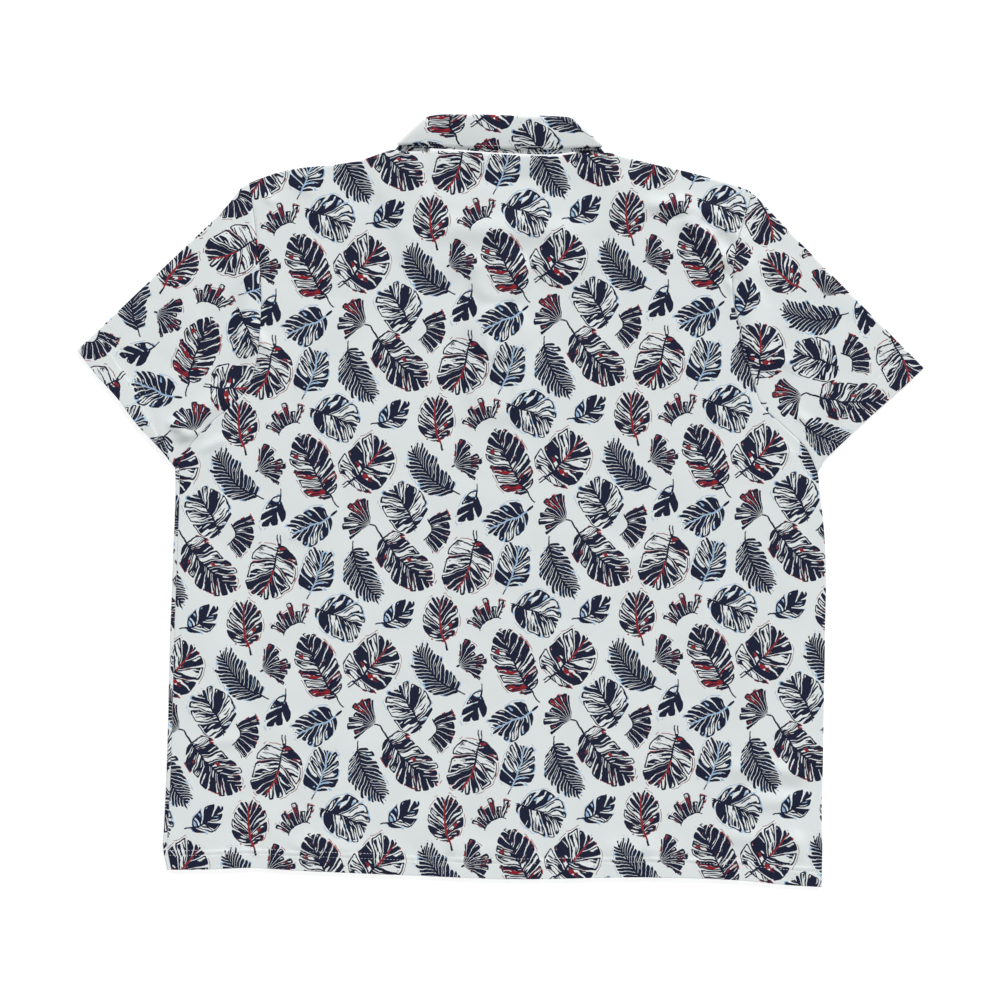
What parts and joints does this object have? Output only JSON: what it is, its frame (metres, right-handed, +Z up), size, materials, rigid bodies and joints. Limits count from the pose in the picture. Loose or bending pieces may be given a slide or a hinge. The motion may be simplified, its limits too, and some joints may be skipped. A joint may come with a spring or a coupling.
{
  "type": "polo shirt",
  "caption": "Short-sleeved polo shirt in leaf-printed cloth, laid flat and face down with its back up, with a folded collar on a stand and a buttoned placket beneath.",
  "frame": {"origin": "centre of the shirt's outline in plan, on the surface that it lies on", "axes": "+Z up out of the shirt's back, +Y from the hem towards the collar, +X across to the right of the back as it is seen"},
  "size_m": [0.898, 0.8176, 0.0117],
  "materials": {
    "printed_cloth": "smooth matte performance knit, off-white with a navy, red and light blue leaf print",
    "button_plastic": "satin off-white four-hole button"
  },
  "bodies": {
    "root": {"front_panel": "printed_cloth", "back_panel": "printed_cloth", "sleeve_left": "printed_cloth", "sleeve_right": "printed_cloth", "collar_fall": "printed_cloth", "collar_stand": "printed_cloth", "placket_upper": "printed_cloth", "placket_under": "printed_cloth", "button_1": "button_plastic", "button_2": "button_plastic", "button_3": "button_plastic"}
  },
  "joints": []
}
